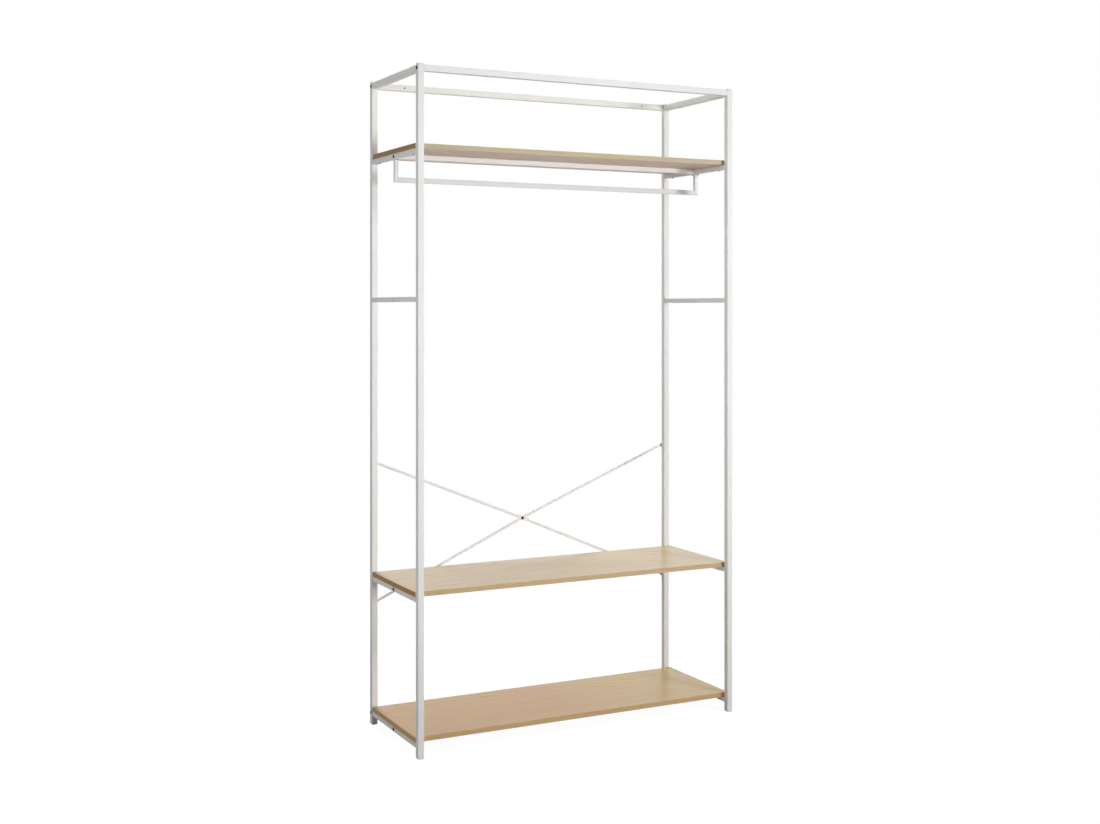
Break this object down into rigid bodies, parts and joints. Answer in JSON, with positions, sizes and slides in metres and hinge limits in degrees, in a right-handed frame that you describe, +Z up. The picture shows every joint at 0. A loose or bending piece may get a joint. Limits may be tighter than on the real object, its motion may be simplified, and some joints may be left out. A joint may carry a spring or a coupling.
{
  "type": "clothes rack",
  "caption": "Free-standing clothes rack of white square steel tube with wooden boards, a hanging rail under the top board and a crossed rear brace.",
  "frame": {"origin": "on the floor, under the middle of the rack", "axes": "+X to the right along the boards, +Y to the rear, where the brace is, +Z up"},
  "size_m": [1.0882, 0.4108, 2],
  "materials": {
    "white_steel": "satin powder coat",
    "oak_board": "oak-look melamine, satin",
    "black_steel": "black, semi-gloss",
    "zinc_steel": "zinc plated",
    "bare_steel": "plain steel",
    "foot_plastic": "fine matt",
    "cap_plastic": "fine matt"
  },
  "bodies": {
    "root": {"front_left_upper_post": "white_steel", "front_left_lower_post": "white_steel", "front_left_post_sleeve": "bare_steel", "front_left_foot": "foot_plastic", "front_left_cap": "cap_plastic", "front_right_upper_post": "white_steel", "front_right_lower_post": "white_steel", "front_right_post_sleeve": "bare_steel", "front_right_foot": "foot_plastic", "front_right_cap": "cap_plastic", "rear_left_upper_post": "white_steel", "rear_left_lower_post": "white_steel", "rear_left_post_sleeve": "bare_steel", "rear_left_foot": "foot_plastic", "rear_left_cap": "cap_plastic", "rear_right_upper_post": "white_steel", "rear_right_lower_post": "white_steel", "rear_right_post_sleeve": "bare_steel", "rear_right_foot": "foot_plastic", "rear_right_cap": "cap_plastic", "left_top_side_rail": "white_steel", "left_free_side_rail": "white_steel", "left_top_board_rail": "white_steel", "left_middle_board_rail": "white_steel", "left_bottom_board_rail": "white_steel", "left_hanger_upright": "white_steel", "left_hanger_flange": "white_steel", "right_top_side_rail": "white_steel", "right_free_side_rail": "white_steel", "right_top_board_rail": "white_steel", "right_middle_board_rail": "white_steel", "right_bottom_board_rail": "white_steel", "right_hanger_upright": "white_steel", "right_hanger_flange": "white_steel", "top_board": "oak_board", "top_board_beam": "white_steel", "middle_board": "oak_board", "middle_board_beam": "white_steel", "bottom_board": "oak_board", "bottom_board_beam": "white_steel", "front_top_rail": "white_steel", "rear_top_rail": "white_steel", "rear_bottom_rail": "white_steel", "hanging_bar": "white_steel", "brace_rod_front": "white_steel", "brace_rod_rear": "white_steel", "post_bolts": "black_steel", "beam_bolts": "black_steel", "long_rail_nuts": "bare_steel", "beam_nuts": "bare_steel", "board_screws": "zinc_steel", "flange_screws": "zinc_steel", "brace_screws": "black_steel", "brace_inserts": "zinc_steel", "brace_nuts": "zinc_steel"}
  },
  "joints": []
}
